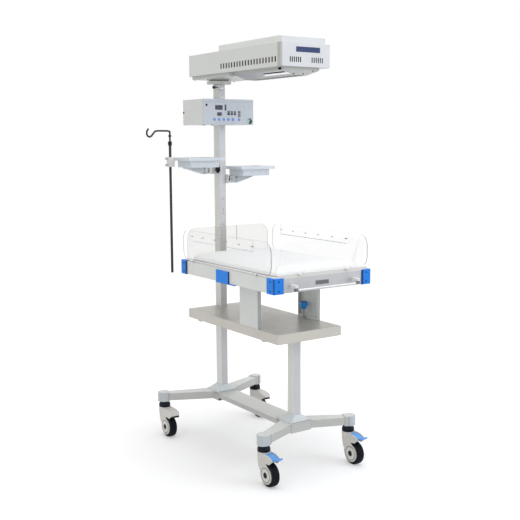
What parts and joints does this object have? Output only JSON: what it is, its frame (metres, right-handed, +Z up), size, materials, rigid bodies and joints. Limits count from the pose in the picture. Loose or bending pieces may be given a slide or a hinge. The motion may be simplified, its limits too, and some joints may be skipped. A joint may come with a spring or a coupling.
{
  "type": "infant radiant warmer",
  "caption": "Wheeled infant radiant warmer: tilting walled bed, swivelling heater hood on a column, control box, side trays and IV pole.",
  "frame": {"origin": "middle of the overall box, on the floor under the tyres", "axes": "+Z up along the column; the foot end of the bed faces -Y and the column stands at +Y; +X is the right side seen from the foot end"},
  "size_m": [0.6568, 0.9484, 1.8],
  "materials": {
    "cream_paint": "satin powder coat",
    "tray_paint": "satin powder coat",
    "aluminium": "satin anodised",
    "shelf_steel": "satin",
    "steel": "polished",
    "blue_plastic": "smooth moulded",
    "pedal_blue": "smooth moulded",
    "clear_acrylic": "clear sheet",
    "mattress_cover": "coated wipe-clean cover",
    "caster_grey": "smooth moulded",
    "black_plastic": "smooth moulded",
    "tyre_rubber": "plain tread",
    "reflector": "polished sheet",
    "quartz": "frosted quartz sheath",
    "green_plastic": "translucent moulded",
    "white_plastic": "smooth moulded"
  },
  "bodies": {
    "stand": {"base_frame": "cream_paint", "rear_column": "aluminium", "front_post": "aluminium", "lower_shelf": "shelf_steel", "support_left": "cream_paint", "support_right": "cream_paint", "tilt_shaft": "steel", "tilt_guide_rod": "black_plastic", "swivel_flange": "cream_paint", "control_case": "cream_paint", "control_panel": "cream_paint"},
    "bed": {"bed_deck": "white_plastic", "bed_frame": "aluminium", "mattress": "mattress_cover", "front_handle": "white_plastic", "rail_clip_left": "blue_plastic", "rail_clip_right": "blue_plastic", "corner_front_left": "blue_plastic", "corner_front_right": "blue_plastic", "corner_rear_left": "blue_plastic", "corner_rear_right": "blue_plastic"},
    "side_wall_left": {"panel_left": "clear_acrylic"},
    "side_wall_right": {"panel_right": "clear_acrylic"},
    "front_wall": {"panel_front": "clear_acrylic"},
    "rear_wall": {"panel_rear": "clear_acrylic"},
    "tilt_release": {"tilt_knob": "blue_plastic", "tilt_wire": "white_plastic"},
    "hood": {"hood_shell": "cream_paint", "hood_cover": "cream_paint", "heater_pan": "cream_paint", "heater_reflector": "reflector", "heater_tube": "quartz"},
    "hood_lock_knob": {"swivel_knob": "black_plastic"},
    "power_button": {"power_switch": "green_plastic"},
    "arm_left": {"tray_arm_left": "cream_paint"},
    "arm_right": {"tray_arm_right": "cream_paint"},
    "arm_knob_left": {"tray_knob_left": "black_plastic"},
    "arm_knob_right": {"tray_knob_right": "black_plastic"},
    "tray_body_left": {"tray_left": "tray_paint", "iv_clamp": "white_plastic"},
    "tray_body_right": {"tray_right": "tray_paint"},
    "pole_tube": {"iv_tube": "steel"},
    "pole_ring": {"iv_ring": "black_plastic"},
    "pole_rod": {"iv_rod": "steel"},
    "pole_knob_upper": {"iv_knob_upper": "black_plastic"},
    "pole_knob_lower": {"iv_knob_lower": "black_plastic"},
    "fork_front_left": {"caster_fork_front_left": "caster_grey"},
    "wheel_front_left": {"caster_hub_front_left": "caster_grey", "caster_tyre_front_left": "tyre_rubber"},
    "pedal_front_left": {"brake_pedal_front_left": "pedal_blue"},
    "fork_front_right": {"caster_fork_front_right": "caster_grey"},
    "wheel_front_right": {"caster_hub_front_right": "caster_grey", "caster_tyre_front_right": "tyre_rubber"},
    "pedal_front_right": {"brake_pedal_front_right": "pedal_blue"},
    "fork_rear_left": {"caster_fork_rear_left": "caster_grey"},
    "wheel_rear_left": {"caster_hub_rear_left": "caster_grey", "caster_tyre_rear_left": "tyre_rubber"},
    "fork_rear_right": {"caster_fork_rear_right": "caster_grey"},
    "wheel_rear_right": {"caster_hub_rear_right": "caster_grey", "caster_tyre_rear_right": "tyre_rubber"}
  },
  "joints": [
    {"name": "bed_tilt", "type": "hinge", "parent": "stand", "child": "bed", "pos_m": [0.0418, -0.13735, 0.8], "axis": [1, 0, 0], "range_deg": [-10, 10]},
    {"name": "side_wall_left_fold", "type": "hinge", "parent": "bed", "child": "side_wall_left", "pos_m": [-0.2082, -0.13735, 0.862], "axis": [0, -1, 0], "range_deg": [0, 175]},
    {"name": "side_wall_right_fold", "type": "hinge", "parent": "bed", "child": "side_wall_right", "pos_m": [0.2918, -0.13735, 0.862], "axis": [0, 1, 0], "range_deg": [0, 175]},
    {"name": "front_wall_fold", "type": "hinge", "parent": "bed", "child": "front_wall", "pos_m": [0.0418, -0.44285, 0.866], "axis": [1, 0, 0], "range_deg": [0, 150]},
    {"name": "rear_wall_lift", "type": "slide", "parent": "bed", "child": "rear_wall", "axis": [0, 0, 1], "range_m": [0, 0.12]},
    {"name": "tilt_release_pull", "type": "slide", "parent": "stand", "child": "tilt_release", "axis": [0, 0, -1], "range_m": [0, 0.012], "stiffness_N_per_m": 200, "springref_m": -0.01},
    {"name": "hood_swivel", "type": "hinge", "parent": "stand", "child": "hood", "pos_m": [0.0418, 0.34415, 1.678], "axis": [0, 0, 1], "range_deg": [-90, 90]},
    {"name": "hood_lock_turn", "type": "hinge", "parent": "stand", "child": "hood_lock_knob", "pos_m": [0.0245, 0.33215, 1.63], "axis": [1, 0, 0], "continuous": true},
    {"name": "power_button_press", "type": "slide", "parent": "stand", "child": "power_button", "axis": [0, 1, 0], "range_m": [0, 0.003], "stiffness_N_per_m": 300},
    {"name": "pole_tube_slide", "type": "slide", "parent": "tray_body_left", "child": "pole_tube", "axis": [0, 0, 1], "range_m": [-0.05, 0.4]},
    {"name": "pole_ring_turn", "type": "hinge", "parent": "pole_tube", "child": "pole_ring", "pos_m": [-0.2082, 0.36515, 1.3779], "axis": [0, 0, 1], "continuous": true},
    {"name": "pole_rod_slide", "type": "slide", "parent": "pole_tube", "child": "pole_rod", "axis": [0, 0, 1], "range_m": [0, 0.35]},
    {"name": "pole_knob_upper_turn", "type": "hinge", "parent": "tray_body_left", "child": "pole_knob_upper", "pos_m": [-0.2202, 0.36515, 1.3094], "axis": [1, 0, 0], "continuous": true},
    {"name": "pole_knob_lower_turn", "type": "hinge", "parent": "tray_body_left", "child": "pole_knob_lower", "pos_m": [-0.2202, 0.36515, 1.2804], "axis": [1, 0, 0], "continuous": true},
    {"name": "arm_left_slide", "type": "slide", "parent": "stand", "child": "arm_left", "axis": [0, 0, 1], "range_m": [-0.1, 0.1]},
    {"name": "arm_knob_left_turn", "type": "hinge", "parent": "arm_left", "child": "arm_knob_left", "pos_m": [0.0192, 0.32015, 1.2559], "axis": [1, 0, 0], "continuous": true},
    {"name": "tray_left_swing", "type": "hinge", "parent": "arm_left", "child": "tray_body_left", "pos_m": [-0.0332, 0.35215, 1.2349], "axis": [0, 0, 1], "range_deg": [-25, 15]},
    {"name": "arm_right_slide", "type": "slide", "parent": "stand", "child": "arm_right", "axis": [0, 0, 1], "range_m": [-0.1, 0.1]},
    {"name": "arm_knob_right_turn", "type": "hinge", "parent": "arm_right", "child": "arm_knob_right", "pos_m": [0.0644, 0.32015, 1.2122], "axis": [1, 0, 0], "continuous": true},
    {"name": "tray_right_swing", "type": "hinge", "parent": "arm_right", "child": "tray_body_right", "pos_m": [0.1168, 0.35215, 1.1912], "axis": [0, 0, 1], "range_deg": [-15, 25]},
    {"name": "swivel_front_left", "type": "hinge", "parent": "stand", "child": "fork_front_left", "pos_m": [-0.1802, -0.33135, 0.137], "axis": [0, 0, 1], "continuous": true},
    {"name": "wheel_front_left_spin", "type": "hinge", "parent": "fork_front_left", "child": "wheel_front_left", "pos_m": [-0.1802, -0.37335, 0.05], "axis": [1, 0, 0], "continuous": true},
    {"name": "pedal_front_left_press", "type": "hinge", "parent": "fork_front_left", "child": "pedal_front_left", "pos_m": [-0.1802, -0.36735, 0.124], "axis": [1, 0, 0], "range_deg": [0, 12]},
    {"name": "swivel_front_right", "type": "hinge", "parent": "stand", "child": "fork_front_right", "pos_m": [0.2638, -0.33135, 0.137], "axis": [0, 0, 1], "continuous": true},
    {"name": "wheel_front_right_spin", "type": "hinge", "parent": "fork_front_right", "child": "wheel_front_right", "pos_m": [0.2638, -0.37335, 0.05], "axis": [1, 0, 0], "continuous": true},
    {"name": "pedal_front_right_press", "type": "hinge", "parent": "fork_front_right", "child": "pedal_front_right", "pos_m": [0.2638, -0.36735, 0.124], "axis": [1, 0, 0], "range_deg": [0, 12]},
    {"name": "swivel_rear_left", "type": "hinge", "parent": "stand", "child": "fork_rear_left", "pos_m": [-0.2172, 0.44815, 0.137], "axis": [0, 0, 1], "continuous": true},
    {"name": "wheel_rear_left_spin", "type": "hinge", "parent": "fork_rear_left", "child": "wheel_rear_left", "pos_m": [-0.2172, 0.40615, 0.05], "axis": [1, 0, 0], "continuous": true},
    {"name": "swivel_rear_right", "type": "hinge", "parent": "stand", "child": "fork_rear_right", "pos_m": [0.3008, 0.44815, 0.137], "axis": [0, 0, 1], "continuous": true},
    {"name": "wheel_rear_right_spin", "type": "hinge", "parent": "fork_rear_right", "child": "wheel_rear_right", "pos_m": [0.3008, 0.40615, 0.05], "axis": [1, 0, 0], "continuous": true}
  ]
}
